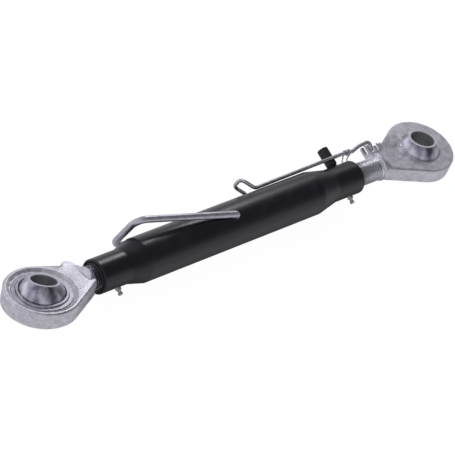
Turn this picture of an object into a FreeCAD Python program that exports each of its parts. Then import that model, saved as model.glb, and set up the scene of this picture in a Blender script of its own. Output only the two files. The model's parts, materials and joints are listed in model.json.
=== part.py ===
"""Turnbuckle top link with two swivel ball ends, a bail handle and a wire latch.

Frame: origin at the centre of the left ball, +X along the tube towards the right
eye, +Z along the bore of the left eye.  Millimetres.
"""
import FreeCAD, Part
import math
import os
import re
import Sketcher

Vector = FreeCAD.Vector
Rotation = FreeCAD.Rotation
Placement = FreeCAD.Placement
X_AXIS = Vector(1, 0, 0)
Y_AXIS = Vector(0, 1, 0)
Z_AXIS = Vector(0, 0, 1)

SIZES = (
    # swivel balls and their eyes
    ("pin_bore", 32.0, "bore of both balls, for a category 3 pin"),
    ("ball_dia", 60.0, "sphere of both balls"),
    ("ball_width", 45.0, "length of a ball along its bore"),
    ("bore_chamfer", 0.8, "chamfer at both ends of a ball's bore"),
    ("running_gap", 0.08, "radial clearance of ball seats and threads"),
    ("seat_gap", 0.02, "radial clearance of pressed and screwed seats"),
    ("eye_radius", 47.5, "outside of an eye"),
    ("eye_thick", 23.0, "thickness of an eye"),
    ("eye_edge", 1.6, "bevel round the eye's rim"),
    ("face_radius", 43.4, "rim of the dished face on the ring side of an eye"),
    ("face_depth", 3.0, "depth of the dish"),
    ("dish_land", 0.6, "flat floor between the dish's slope and the ring"),
    ("ring_radius", 38.0, "outside of the ring that holds the ball in"),
    ("ring_bevel", 0.8, "bevels of the ring, and its flat above the dish's floor"),
    ("lip_radius", 33.0, "foot of the ring's raised lip"),
    ("lip_rise", 2.0, "height of the raised lip above the ring's flat"),
    ("ring_seat", 0.5, "height of the ring's inner end above the ball's middle"),
    ("left_ball_tilt", 14.5, "tilt of the left ball at rest, degrees"),
    ("left_ball_heading", 135.2, "direction of the left ball's tilt axis, degrees"),
    ("right_ball_tilt", 7.6, "tilt of the right ball at rest, degrees"),
    ("right_ball_heading", 167.0, "direction of the right ball's tilt axis, degrees"),
    ("right_eye_turn", 11.4, "turn of the right eye about the tube's axis, degrees"),
    # neck and threaded shank of each eye
    ("left_gap", 11.0, "shoulder of the left boss to the left mouth"),
    ("right_gap", 44.0, "shoulder of the right boss to the right mouth"),
    ("left_boss", 7.0, "left boss, from the eye's flats to the shoulder"),
    ("right_boss", 13.5, "right boss, from the eye's flats to the shoulder"),
    ("left_ramp", 4.8, "length of the slopes on the left boss"),
    ("right_ramp", 10.0, "length of the slopes on the right boss"),
    ("left_flank_gap", 1.0, "end of the left eye's flanks to the shoulder"),
    ("right_flank_gap", 2.9, "end of the right eye's flanks to the shoulder"),
    ("left_flank_half", 18.5, "half width of the left flanks where they end"),
    ("right_flank_half", 13.8, "half width of the right flanks where they end"),
    ("boss_radius", 18.0, "round boss"),
    ("boss_edge", 1.8, "bevel at the shoulder of a boss"),
    ("shank_radius", 16.0, "threaded shank, over the thread"),
    ("shank_end", 270.0, "ball centre to the inner end of the shank"),
    ("shank_chamfer", 2.0, "chamfer at the inner end of the shank"),
    # lugs
    ("lug_turn", 27.5, "angle of the latch and its catch above the +Y direction, degrees"),
    ("lug_width", 14.0, "left lug and catch, across"),
    ("left_lug_turn", 10.5, "angle of the left lug above the +Y direction, degrees"),
    ("left_lug_place", 13.0, "middle of the left lug to the shoulder"),
    ("left_lug_height", 22.0, "axis to the centre of the left lug's round top"),
    ("left_lug_radius", 10.0, "round top of the left lug"),
    ("catch_length", 26.0, "catch, over both ears"),
    ("catch_proud", 1.0, "how far the front ear stands beyond the shoulder"),
    ("catch_floor", 20.5, "axis to the floor between the catch's ears"),
    ("catch_top", 34.0, "axis to the top of the front ear"),
    ("end_ear_drop", 3.0, "how much lower the end ear is"),
    ("front_ear", 4.5, "thickness of the front ear"),
    ("end_ear", 5.0, "thickness of the end ear"),
    ("horn_round", 3.4, "rounding of the ears' outer top edges"),
    ("catch_slot", 6.2, "slot through both ears, where the latch's tip stands"),
    # tube
    ("left_reach", 82.0, "left ball centre to the left mouth of the tube"),
    ("tube_length", 453.0, "tube, mouth to mouth"),
    ("right_reach", 126.5, "right mouth of the tube to the right ball centre"),
    ("tube_radius", 29.0, "tube, outside"),
    ("tube_wall", 7.0, "wall of the tube's middle"),
    ("neck_radius", 22.4, "swaged ends of the tube, outside"),
    ("left_neck", 44.0, "length of the left swaged end"),
    ("left_cone", 26.0, "length of the left cone"),
    ("right_neck", 47.0, "length of the right swaged end"),
    ("right_cone", 34.0, "length of the right cone"),
    ("inner_cone", 16.0, "length of the cone between thread and bore inside"),
    ("mouth_edge", 1.6, "bevel round both mouths"),
    # wipers in the tube's mouths
    ("wiper_radius", 19.8, "outside of a wiper"),
    ("wiper_depth", 6.0, "depth of a wiper's seat"),
    ("wiper_gap", 0.4, "wiper to shank"),
    ("wiper_proud", 0.8, "how far a wiper stands out of the mouth"),
    ("wiper_groove", 1.0, "depth of the groove between a wiper's lips"),
    # bail handle
    ("bail_rod", 9.0, "rod of the bail"),
    ("bail_place", 219.0, "left mouth to the bail's pivot"),
    ("bail_length", 149.0, "pivot to the centre line of the bail's cross bar"),
    ("bail_side_gap", 0.7, "bail's leg to the tube's side"),
    ("bail_bend", 5.0, "bend of the pivot ends, on the centre line"),
    ("bail_corner", 15.0, "bend of the bail's corners, on the centre line"),
    ("bail_pin", 5.6, "depth of a pivot end in the tube's wall"),
    ("bail_turn", 61.0, "angle of the bail's pivot above the -Y direction, degrees"),
    ("bail_lift", 15.0, "angle of the bail above the tube's axis at rest, degrees"),
    # wire latch
    ("latch_wire", 5.0, "wire of the latch"),
    ("latch_place", 287.0, "left mouth to the latch's pivot"),
    ("latch_gap", 0.3, "latch to the tube's surface under its bend"),
    ("latch_rise", 0.6, "slope of the latch's long leg, degrees"),
    ("grip_angle", 54.0, "slope of the finger grip, degrees"),
    ("grip_length", 22.0, "finger grip, along its slope"),
    ("grip_width", 19.4, "finger grip, leg to leg"),
    ("wire_bend", 6.5, "tightest bend of the latch, on the centre line"),
    ("arch_height", 38.5, "axis to the top of the latch's arch over the catch"),
    ("tip_height", 24.5, "axis to the tip of the latch"),
    ("tip_clearance", 7.0, "latch's tip to the front ear of the catch"),
    ("arch_drop", 2.4, "how much lower the latch is where its arch starts"),
    ("tip_lean", 6.0, "how far the latch's tip leans towards the tube"),
    ("arch_bend", 5.0, "bend of the arch above the tip, on the centre line"),
    ("ear_thick", 4.0, "pivot ear of the latch"),
    ("pin_proud", 2.0, "how far the latch's pivot end stands out of its ear"),
    ("ear_radius", 5.5, "round top of the pivot ear"),
    # guide post beside the latch
    ("post_place", 21.5, "right mouth to the guide post"),
    ("post_radius", 4.0, "guide post"),
    ("post_collar", 6.0, "collar of the guide post"),
    ("collar_height", 2.4, "height of the collar above the swaged end"),
    ("post_depth", 4.0, "depth of the post in the tube's wall"),
    ("post_edge", 1.0, "bevel at the top of the post and of its sleeve"),
    ("sleeve_radius", 7.5, "rubber sleeve on the guide post"),
    ("sleeve_length", 25.5, "rubber sleeve, along the post"),
    ("sleeve_cap", 3.0, "closed top of the rubber sleeve"),
    ("sleeve_gap", 0.4, "sleeve to the latch's wire"),
    # thin wire spring that holds the latch down
    ("spring_wire", 1.7, "wire of the latch's spring"),
    ("spring_place", 2.5, "right mouth to the spring's right foot"),
    ("spring_spread", 8.5, "spring's feet, one to the other"),
    ("spring_lean", 13.0, "how far the coils lie beyond the feet"),
    ("spring_pitch", 4.2, "pitch of the spring's coils"),
    ("spring_side", 9.0, "spring's feet, sideways of the guide post"),
    ("spring_gap", 0.6, "spring's coils to the latch's wire"),
    ("spring_foot", 1.6, "depth of the spring's feet in the tube's wall"),
    # grease nipples
    ("nipple_turn", 40.0, "angle of the nipples below the -Y direction, degrees"),
    ("left_nipple", 27.5, "left mouth to the left nipple"),
    ("right_nipple", 19.3, "right mouth to the right nipple"),
    ("nipple_thread", 3.0, "radius of a nipple's screwed end"),
    ("nipple_depth", 5.5, "length of a nipple's screwed end"),
    ("nipple_flats", 7.0, "hexagon of a nipple, across flats"),
    ("nipple_hex", 3.0, "height of the hexagon"),
    ("nipple_height", 10.0, "how far a nipple stands out"),
    ("nipple_waist", 2.2, "radius below a nipple's head"),
    ("nipple_head", 3.25, "radius of a nipple's head"),
    ("nipple_crown", 1.6, "height of the rounded top of a nipple's head"),
    ("nipple_top", 1.85, "radius of the flat end of a nipple's head"),
    ("nipple_band", 1.0, "height of the head's band and of a nipple's cones"),
    ("nipple_land", 1.2, "depth of the hole in a nipple's head"),
    ("nipple_seat", 0.6, "height of the cone on which a nipple's ball closes"),
    ("nipple_bore", 1.25, "radius of a nipple's bore"),
    ("nipple_mouth", 0.8, "radius of the hole in a nipple's head"),
    ("nipple_ball", 1.1, "radius of the ball that closes a nipple"),
    ("nipple_coil", 0.3, "wire of a nipple's spring"),
)


def make_sheet(doc):
    """Write the driving dimensions into a spreadsheet, one alias a row."""
    sheet = doc.addObject("Spreadsheet::Sheet", "Sizes")
    for row, (alias, value, meaning) in enumerate(SIZES, start=1):
        sheet.set(f"A{row}", str(value))
        sheet.setAlias(f"A{row}", alias)
        sheet.set(f"B{row}", meaning)
    doc.recompute()
    return sheet


class Model:
    """The document, its sheet and the sub-parts made so far."""

    def __init__(self):
        self.doc = FreeCAD.newDocument("TopLink")
        self.sheet = make_sheet(self.doc)
        self.parts = []

    def size(self, formula):
        """Value of a formula that names the sheet's cells."""
        value = self.sheet.evalExpression(formula)
        return float(getattr(value, "Value", value))

    def body(self, label):
        """New empty body that will be the sub-part of that name."""
        body = self.doc.addObject("PartDesign::Body", label)
        body.Label = label
        self.parts.append(body)
        return body

    def feature(self, label, shape):
        """Sub-part whose shape is made by Part's own functions."""
        feature = self.doc.addObject("Part::Feature", label)
        feature.Label = label
        feature.Shape = shape
        self.parts.append(feature)
        return feature


def cell(formula):
    """Formula for a feature: each alias gets the sheet's name in front."""
    return re.sub(r"[a-z]+_[a-z_]+", lambda word: f"Sizes.{word.group()}", formula)


def bind(item, model, **formulas):
    """Set and bind properties of a feature to formulas of the sheet."""
    for name, formula in formulas.items():
        setattr(item, name, model.size(formula))
        item.setExpression(name, cell(formula))


def new_sketch(body, name, plane="XY_Plane", turn=0.0, rise=0.0):
    """Sketch on one of the body's origin planes, turned about X and raised."""
    sketch = body.newObject("Sketcher::SketchObject", name)
    support = [item for item in body.Origin.OriginFeatures if item.Role == plane][0]
    sketch.AttachmentSupport = (support, [""])
    sketch.MapMode = "FlatFace"
    sketch.AttachmentOffset = Placement(Vector(0, 0, rise), Rotation(X_AXIS, turn))
    return sketch


def pin_coordinate(sketch, model, kind, edge, end, formula):
    """Hold one coordinate of an edge's end at a formula."""
    if formula == "0":
        axis = -2 if kind == "DistanceX" else -1
        sketch.addConstraint(Sketcher.Constraint("PointOnObject", edge, end, axis))
        return
    index = sketch.addConstraint(Sketcher.Constraint(kind, edge, end, model.size(formula)))
    sketch.setExpression(f"Constraints[{index}]", cell(formula))


def add_outline(sketch, model, corners, arcs=None):
    """Closed outline through corners, given as pairs of formulas.

    arcs maps the number of a corner to the centre of the arc that leaves it and
    to its direction, +1 for anticlockwise.  The y of the arc's far end follows
    from the arc, so it isn't held.
    """
    arcs = arcs or {}
    points = [Vector(model.size(x), model.size(y), 0) for x, y in corners]
    count = len(points)
    first = sketch.GeometryCount
    starts = []
    ends = []
    for number, point in enumerate(points):
        following = points[(number + 1) % count]
        if number in arcs:
            centre_x, centre_y, direction = arcs[number]
            centre = Vector(model.size(centre_x), model.size(centre_y), 0)
            one, two = (point, following) if direction > 0 else (following, point)
            angle_one = math.atan2(one.y - centre.y, one.x - centre.x)
            angle_two = math.atan2(two.y - centre.y, two.x - centre.x)
            circle = Part.Circle(centre, Z_AXIS, (point - centre).Length)
            sketch.addGeometry(Part.ArcOfCircle(circle, angle_one, angle_two), False)
            starts.append(1 if direction > 0 else 2)
            ends.append(2 if direction > 0 else 1)
        else:
            sketch.addGeometry(Part.LineSegment(point, following), False)
            starts.append(1)
            ends.append(2)
    for number in range(count):
        following = (number + 1) % count
        sketch.addConstraint(Sketcher.Constraint(
            "Coincident", first + number, ends[number], first + following, starts[following]))
    for number, (x, y) in enumerate(corners):
        pin_coordinate(sketch, model, "DistanceX", first + number, starts[number], x)
        if (number - 1) % count not in arcs:
            pin_coordinate(sketch, model, "DistanceY", first + number, starts[number], y)
    for number, (centre_x, centre_y, _) in arcs.items():
        pin_coordinate(sketch, model, "DistanceX", first + number, 3, centre_x)
        pin_coordinate(sketch, model, "DistanceY", first + number, 3, centre_y)


def add_circle(sketch, model, centre_x, centre_y, radius):
    """Circle with its centre and radius at formulas."""
    centre = Vector(model.size(centre_x), model.size(centre_y), 0)
    edge = sketch.addGeometry(Part.Circle(centre, Z_AXIS, model.size(radius)), False)
    index = sketch.addConstraint(Sketcher.Constraint("Radius", edge, model.size(radius)))
    sketch.setExpression(f"Constraints[{index}]", cell(radius))
    pin_coordinate(sketch, model, "DistanceX", edge, 3, centre_x)
    pin_coordinate(sketch, model, "DistanceY", edge, 3, centre_y)


def revolve(body, model, name, corners, arcs=None, axis="H_Axis", cut=False, plane="XY_Plane"):
    """Full turn of an outline about an axis of its sketch."""
    sketch = new_sketch(body, f"{name}_outline", plane)
    add_outline(sketch, model, corners, arcs)
    kind = "PartDesign::Groove" if cut else "PartDesign::Revolution"
    turned = body.newObject(kind, name)
    turned.Profile = sketch
    turned.ReferenceAxis = (sketch, [axis])
    turned.Angle = 360
    model.doc.recompute()
    return turned


def pad(body, model, name, sketch, length, cut=False):
    """Pad or pocket of a sketch, half of the length to each side."""
    item = body.newObject("PartDesign::Pocket" if cut else "PartDesign::Pad", name)
    item.Profile = sketch
    item.SideType = "Symmetric"
    bind(item, model, Length=length)
    model.doc.recompute()
    return item


def cut_through(body, model, name, sketch, length):
    """Pocket of a sketch to both sides, which has to take something away."""
    before = body.Shape.Volume
    pad(body, model, name, sketch, length, cut=True)
    if body.Shape.Volume >= before:
        raise ValueError(f"{name} cut nothing")


def drill(body, model, name, radius, depth, start, direction):
    """Cut a straight round hole from a start point along a direction."""
    hole = body.newObject("PartDesign::SubtractiveCylinder", name)
    bind(hole, model, Radius=radius, Height=depth)
    hole.Placement = Placement(start, Rotation(Z_AXIS, direction))
    before = body.Shape.Volume
    model.doc.recompute()
    if body.Shape.Volume >= before:
        raise ValueError(f"{name} cut nothing")
    return hole


def shoulder(side):
    """Formula of the distance from a ball's centre to the shoulder of its boss."""
    return f"({side}_reach - {side}_gap)"


def catch_front():
    """Formula of the distance from the right ball's centre to the catch's front face."""
    return f"({shoulder('right')} + catch_proud)"


def radial(model, angle_name, side):
    """Unit vector square to the tube, an angle above the +Y (side 1) or -Y direction."""
    angle = math.radians(model.size(angle_name))
    return Vector(0, side * math.cos(angle), math.sin(angle))


def latch_frame(model):
    """Outward and sideways directions of the latch, the lugs and the guide post."""
    outward = radial(model, "lug_turn", 1)
    return outward, X_AXIS.cross(outward)


def nipple_direction(model):
    """Outward direction of both grease nipples."""
    direction = radial(model, "nipple_turn", -1)
    return Vector(0, direction.y, -direction.z)


def right_centre(model):
    """Centre of the right ball."""
    return Vector(model.size("left_reach + tube_length + right_reach"), 0, 0)


def right_eye_placement(model):
    """Place of the right eye: turned end for end, then turned about the tube."""
    flip = Rotation(Y_AXIS, 180)
    turn = Rotation(X_AXIS, model.size("right_eye_turn"))
    return Placement(right_centre(model), turn.multiply(flip))


def tilt_axis(model, heading):
    """Level axis at a heading from +X, about which a ball tilts."""
    angle = math.radians(model.size(heading))
    return Vector(math.cos(angle), math.sin(angle), 0)


# ---------------------------------------------------------------- tube

def barrel_tube(model):
    """Tube with swaged, threaded ends, drilled for its bail, post and nipples."""
    body = model.body("barrel_tube")
    left = "left_reach"
    right = "left_reach + tube_length"
    thread = "shank_radius + running_gap"
    bore = "tube_radius - tube_wall"
    corners = [
        (f"{left}", "neck_radius - mouth_edge"),
        (f"{left} + mouth_edge", "neck_radius"),
        (f"{left} + left_neck", "neck_radius"),
        (f"{left} + left_neck + left_cone", "tube_radius"),
        (f"{right} - right_neck - right_cone", "tube_radius"),
        (f"{right} - right_neck", "neck_radius"),
        (f"{right} - mouth_edge", "neck_radius"),
        (f"{right}", "neck_radius - mouth_edge"),
        (f"{right}", "wiper_radius"),
        (f"{right} - wiper_depth", "wiper_radius"),
        (f"{right} - wiper_depth", thread),
        (f"{right} - right_neck - right_cone / 3", thread),
        (f"{right} - right_neck - right_cone / 3 - inner_cone", bore),
        (f"{left} + left_neck + left_cone / 3 + inner_cone", bore),
        (f"{left} + left_neck + left_cone / 3", thread),
        (f"{left} + wiper_depth", thread),
        (f"{left} + wiper_depth", "wiper_radius"),
        (f"{left}", "wiper_radius"),
    ]
    revolve(body, model, "tube_wall_turned", corners)
    drill_bail_holes(body, model)
    outward, _ = latch_frame(model)
    post_x = model.size("left_reach + tube_length - post_place")
    floor = model.size("neck_radius - post_depth")
    drill(body, model, "post_hole", "post_radius + seat_gap", "post_depth + post_depth",
          Vector(post_x, 0, 0) + outward * floor, outward)
    down = nipple_direction(model)
    for side, place in (("left", "left_reach + left_nipple"),
                        ("right", "left_reach + tube_length - right_nipple")):
        drill(body, model, f"{side}_nipple_hole", "nipple_thread + seat_gap", "neck_radius + neck_radius",
              Vector(model.size(place), 0, 0), down)
    for number, foot in enumerate(spring_feet(model)):
        drill(body, model, f"spring_hole_{number + 1}", "spring_wire / 2 + seat_gap",
              "spring_foot + spring_foot", foot, outward)
    return body


def drill_bail_holes(body, model):
    """Hole across the tube for both pivot ends of the bail."""
    pivot = radial(model, "bail_turn", -1)
    reach = model.size("tube_radius + tube_wall")
    start = Vector(model.size("left_reach + bail_place"), 0, 0) - pivot * reach
    drill(body, model, "bail_hole", "bail_rod / 2 + running_gap", "2 * (tube_radius + tube_wall)",
          start, pivot)


def wiper(model, label, mouth, facing):
    """Rubber wiper with two lips, pressed into a mouth of the tube."""
    body = model.body(label)
    inner = "shank_radius + wiper_gap"
    outer = "wiper_radius - seat_gap"
    middle = "(shank_radius + wiper_gap + wiper_radius) / 2"
    corners = [
        ("seat_gap - wiper_depth", inner),
        ("wiper_proud", inner),
        ("wiper_proud - wiper_groove", middle),
        ("wiper_proud", outer),
        ("seat_gap - wiper_depth", outer),
    ]
    revolve(body, model, "lips", corners)
    turn = Rotation(Y_AXIS, 0 if facing > 0 else 180)
    body.Placement = Placement(Vector(model.size(mouth), 0, 0), turn)
    return body


# ---------------------------------------------------------------- eyes

def eye_plate(body, model, side):
    """Flat of the eye: a round end with flanks that meet it along tangents."""
    sketch = new_sketch(body, "eye_outline")
    end = f"({shoulder(side)} - {side}_flank_gap)"
    half = f"{side}_flank_half"
    reach = f"sqrt({end} ^ 2 + {half} ^ 2)"
    angle = f"(atan2({half}; {end}) + acos(eye_radius / {reach}))"
    touch_x = f"eye_radius * cos({angle})"
    touch_y = f"eye_radius * sin({angle})"
    corners = [
        (end, f"-1 * {half}"),
        (end, half),
        (touch_x, touch_y),
        (touch_x, f"-1 * {touch_y}"),
    ]
    add_outline(sketch, model, corners, {2: ("0", "0", 1)})
    flat = pad(body, model, "eye_flat", sketch, "eye_thick")
    rims = [f"Edge{number}" for number, edge in enumerate(body.Shape.Edges, start=1)
            if is_rim(edge, model)]
    bevel = body.newObject("PartDesign::Chamfer", "eye_bevel")
    bevel.Base = (flat, rims)
    bind(bevel, model, Size="eye_edge")
    model.doc.recompute()


def is_rim(edge, model):
    """True for the edges round both faces of the eye, but not across its neck."""
    half = model.size("eye_thick / 2")
    box = edge.BoundBox
    level = box.ZLength < 0.01 and abs(abs(box.ZMin) - half) < 0.01
    return level and box.XLength > 0.01


def shank(body, model, side):
    """Round boss that grows out of the eye, and the threaded shank."""
    end = shoulder(side)
    corners = [
        (f"{end} - {side}_boss", "0"),
        (f"{end} - {side}_boss", "boss_radius"),
        (f"{end} - boss_edge", "boss_radius"),
        (end, "boss_radius - boss_edge"),
        (end, "shank_radius"),
        ("shank_end - shank_chamfer", "shank_radius"),
        ("shank_end", "shank_radius - shank_chamfer"),
        ("shank_end", "0"),
    ]
    revolve(body, model, "boss_and_shank", corners)


def boss_ramps(body, model, side):
    """Slopes that lead from both flats of the eye up to the round boss."""
    start = f"{shoulder(side)} - {side}_boss"
    full = f"{start} + {side}_ramp"
    for name, sign in (("upper", 1), ("lower", -1)):
        sketch = new_sketch(body, f"{name}_ramp_outline", "XZ_Plane")
        beyond = f"{sign} * (boss_radius + boss_edge)"
        corners = [
            (start, f"{sign} * eye_thick / 2"),
            (full, f"{sign} * boss_radius"),
            (full, beyond),
            (start, beyond),
        ]
        add_outline(sketch, model, corners)
        cut_through(body, model, f"{name}_ramp", sketch, "2 * eye_radius")


def ball_seat(body, model):
    """Spherical seat, the ring's counterbore and the dished face round it."""
    before = body.Shape.Volume
    seat = body.newObject("PartDesign::SubtractiveSphere", "seat")
    bind(seat, model, Radius="ball_dia / 2 + running_gap")
    counterbore = body.newObject("PartDesign::SubtractiveCylinder", "ring_seat_bore")
    bind(counterbore, model, Radius="ring_radius + seat_gap", Height="eye_thick")
    counterbore.Placement = Placement(Vector(0, 0, 0), Rotation())
    bind_rise(counterbore, model, "ring_seat")
    dish = body.newObject("PartDesign::SubtractiveCone", "dished_face")
    bind(dish, model, Radius1="ring_radius + dish_land", Radius2="face_radius", Height="face_depth")
    bind_rise(dish, model, "eye_thick / 2 - face_depth")
    model.doc.recompute()
    if body.Shape.Volume >= before:
        raise ValueError("the ball's seat cut nothing")


def bind_rise(item, model, formula):
    """Raise a primitive along Z to a formula."""
    item.Placement = Placement(Vector(0, 0, model.size(formula)), Rotation())
    item.setExpression("Placement.Base.z", cell(formula))


def lug_sketch(body, model, turn):
    """Sketch along the shank and outward at an angle above the eye's +Y."""
    return new_sketch(body, "lug_outline", "XY_Plane", turn)


def left_eye_rod(model):
    """Left eye, forged with its shank and a round lug."""
    body = model.body("left_eye_rod")
    eye_plate(body, model, "left")
    shank(body, model, "left")
    boss_ramps(body, model, "left")
    sketch = lug_sketch(body, model, model.size("left_lug_turn"))
    place = f"{shoulder('left')} - left_lug_place"
    add_circle(sketch, model, place, "left_lug_height", "left_lug_radius")
    pad(body, model, "round_lug", sketch, "lug_width")
    ball_seat(body, model)
    return body


def right_eye_rod(model):
    """Right eye, forged with its shank and the two-eared catch of the latch."""
    body = model.body("right_eye_rod")
    eye_plate(body, model, "right")
    shank(body, model, "right")
    boss_ramps(body, model, "right")
    catch_ears(body, model)
    cut_catch_slot(body, model)
    ball_seat(body, model)
    body.Placement = right_eye_placement(model)
    return body


def catch_ears(body, model):
    """Two ears of the catch, with rounded horns, on a common foot."""
    sketch = lug_sketch(body, model, catch_turn(model))
    foot = "shank_radius / 2"
    end_top = "catch_top - end_ear_drop"
    front = f"{catch_front()} - front_ear"
    start = f"{catch_front()} - catch_length"
    end = f"{start} + end_ear"
    corners = [
        (f"{start} - end_ear / 2", foot),
        (start, f"{end_top} - end_ear"),
        (start, end_top),
        (end, end_top),
        (end, "catch_floor"),
        (front, "catch_floor"),
        (front, "catch_top"),
        (catch_front(), "catch_top"),
        (catch_front(), foot),
    ]
    add_outline(sketch, model, corners)
    ears = pad(body, model, "catch_ears", sketch, "lug_width")
    horns = [f"Edge{number}" for number, edge in enumerate(body.Shape.Edges, start=1)
             if is_horn(edge, model)]
    rounds = body.newObject("PartDesign::Fillet", "horn_rounds")
    rounds.Base = (ears, horns)
    bind(rounds, model, Radius="horn_round")
    model.doc.recompute()


def catch_turn(model):
    """Turn of the catch about the shank, in the right eye's own frame, degrees."""
    return model.size("right_eye_turn - lug_turn")


def is_horn(edge, model):
    """True for the top edges along both sides of the catch's ears."""
    box = edge.BoundBox
    if box.XLength < 0.01 or box.YLength > 0.01 or box.ZLength > 0.01:
        return False
    middle = Rotation(X_AXIS, -catch_turn(model)).multVec(box.Center)
    at_side = abs(abs(middle.z) - model.size("lug_width / 2")) < 0.01
    tops = (model.size("catch_top"), model.size("catch_top - end_ear_drop"))
    return at_side and any(abs(middle.y - top) < 0.01 for top in tops)


def cut_catch_slot(body, model):
    """Round-bottomed slot along the shank through both ears of the catch."""
    sketch = new_sketch(body, "slot_outline", "XY_Plane", catch_turn(model))
    start = f"{catch_front()} - catch_length - end_ear"
    end = f"{catch_front()} + front_ear"
    middle = "catch_floor + catch_slot / 2"
    top = "catch_top + front_ear"
    add_outline(sketch, model, [(start, middle), (end, middle), (end, top), (start, top)])
    cut_through(body, model, "catch_slot_cut", sketch, "catch_slot")
    outward = Rotation(X_AXIS, catch_turn(model)).multVec(Y_AXIS)
    foot = X_AXIS * model.size(start) + outward * model.size(middle)
    drill(body, model, "slot_bottom", "catch_slot / 2", f"{end} - ({start})", foot, X_AXIS)


def retaining_ring(model, label, placement):
    """Ring pressed into the eye over the ball, with a raised lip round the ball."""
    body = model.body(label)
    seat = "(ball_dia / 2 + running_gap)"
    floor = "eye_thick / 2 - face_depth"
    flat = f"({floor} + ring_bevel)"
    touch = f"sqrt({seat} ^ 2 - {flat} ^ 2)"
    corners = [
        ("ring_radius", floor),
        ("ring_radius - ring_bevel", flat),
        ("lip_radius", flat),
        ("lip_radius - lip_rise / 2", f"{flat} + lip_rise"),
        (f"{touch} + ring_bevel", f"{flat} + lip_rise"),
        (touch, flat),
        (f"sqrt({seat} ^ 2 - ring_seat ^ 2)", "ring_seat"),
        ("ring_radius", "ring_seat"),
    ]
    revolve(body, model, "ring", corners, {5: ("0", "0", -1)}, "V_Axis", plane="XZ_Plane")
    body.Placement = placement
    return body


def swivel_ball(model, label, placement):
    """Hardened ball with a bore, cut flat at both ends."""
    body = model.body(label)
    face = "sqrt((ball_dia / 2) ^ 2 - (ball_width / 2) ^ 2)"
    half = "ball_width / 2"
    corners = [
        ("pin_bore / 2", f"bore_chamfer - {half}"),
        ("pin_bore / 2 + bore_chamfer", f"-1 * {half}"),
        (face, f"-1 * {half}"),
        (face, half),
        ("pin_bore / 2 + bore_chamfer", half),
        ("pin_bore / 2", f"{half} - bore_chamfer"),
    ]
    revolve(body, model, "ball", corners, {2: ("0", "0", 1)}, "V_Axis", plane="XZ_Plane")
    body.Placement = placement
    return body


# ---------------------------------------------------------------- grease nipples

def nipple_body(model, label, placement):
    """Screwed nipple with a hexagon, a waist and a rounded head."""
    body = model.body(label)
    corners = [
        ("nipple_bore", "-1 * nipple_depth"),
        ("nipple_thread", "-1 * nipple_depth"),
        ("nipple_thread", "0"),
        ("nipple_thread", "nipple_hex"),
        ("nipple_waist", "nipple_hex + nipple_band"),
        ("nipple_waist", "nipple_height - nipple_crown - 2 * nipple_band"),
        ("nipple_head", "nipple_height - nipple_crown - nipple_band"),
        ("nipple_head", "nipple_height - nipple_crown"),
        ("nipple_top", "nipple_height"),
        ("nipple_mouth", "nipple_height"),
        ("nipple_mouth", "nipple_height - nipple_land"),
        ("nipple_bore", "nipple_height - nipple_land - nipple_seat"),
    ]
    revolve(body, model, "turned", corners, None, "V_Axis", plane="XZ_Plane")
    sketch = new_sketch(body, "hexagon")
    add_hexagon_ring(sketch, model)
    hexagon = body.newObject("PartDesign::Pad", "hexagon_pad")
    hexagon.Profile = sketch
    bind(hexagon, model, Length="nipple_hex")
    model.doc.recompute()
    body.Placement = placement
    return body


def add_hexagon_ring(sketch, model):
    """Hexagon across its flats, round a hole of the nipple's bore."""
    corner = "nipple_flats / sqrt(3)"
    corners = []
    for number in range(6):
        angle = 60 * number
        corners.append((f"{corner} * cos({angle})", f"{corner} * sin({angle})"))
    corners[0] = (corner, "0")
    corners[3] = (f"-1 * {corner}", "0")
    add_outline(sketch, model, corners)
    add_circle(sketch, model, "0", "0", "(nipple_bore + nipple_thread) / 2")


def nipple_ball(model, label, placement):
    """Ball that closes a nipple's mouth from inside."""
    ball = model.doc.addObject("Part::Sphere", label)
    ball.Label = label
    bind(ball, model, Radius="nipple_ball")
    model.parts.append(ball)
    rise = model.size("nipple_height - nipple_land - nipple_seat - nipple_ball")
    ball.Placement = placement.multiply(Placement(Vector(0, 0, rise), Rotation()))
    return ball


def nipple_spring(model, label, placement):
    """Coil spring under a nipple's ball."""
    bottom = model.size("nipple_coil - nipple_depth")
    top = model.size("nipple_height - nipple_land - nipple_seat - 2 * nipple_ball - nipple_coil")
    wire = model.size("nipple_coil")
    radius = model.size("nipple_bore - nipple_coil")
    turns = 6
    steps = 8
    points = []
    for step in range(turns * steps + 1):
        angle = 2 * math.pi * step / steps
        rise = bottom + (top - bottom) * step / (turns * steps)
        points.append(Vector(radius * math.cos(angle), radius * math.sin(angle), rise))
    section = square_section(points[0], points[1] - points[0], wire)
    coils = Part.makePolygon(points).makePipeShell([section], True, False, 1)
    spring = model.feature(label, coils)
    spring.Placement = placement
    return spring


def square_section(centre, direction, width):
    """Square outline round a point, square to a direction."""
    turn = Rotation(Z_AXIS, direction)
    half = width / 2
    corners = []
    for across, up in ((-half, -half), (half, -half), (half, half), (-half, half), (-half, -half)):
        corners.append(centre + turn.multVec(Vector(across, up, 0)))
    return Part.makePolygon(corners)


def grease_nipples(model):
    """A nipple, its ball and its spring on each swaged end."""
    down = nipple_direction(model)
    for side, place in (("left", "left_reach + left_nipple"),
                        ("right", "left_reach + tube_length - right_nipple")):
        foot = Vector(model.size(place), 0, 0) + down * model.size("neck_radius")
        placement = Placement(foot, Rotation(Z_AXIS, down))
        nipple_body(model, f"{side}_nipple_body", placement)
        nipple_ball(model, f"{side}_nipple_ball", placement)
        nipple_spring(model, f"{side}_nipple_spring", placement)


# ---------------------------------------------------------------- bail handle

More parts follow.
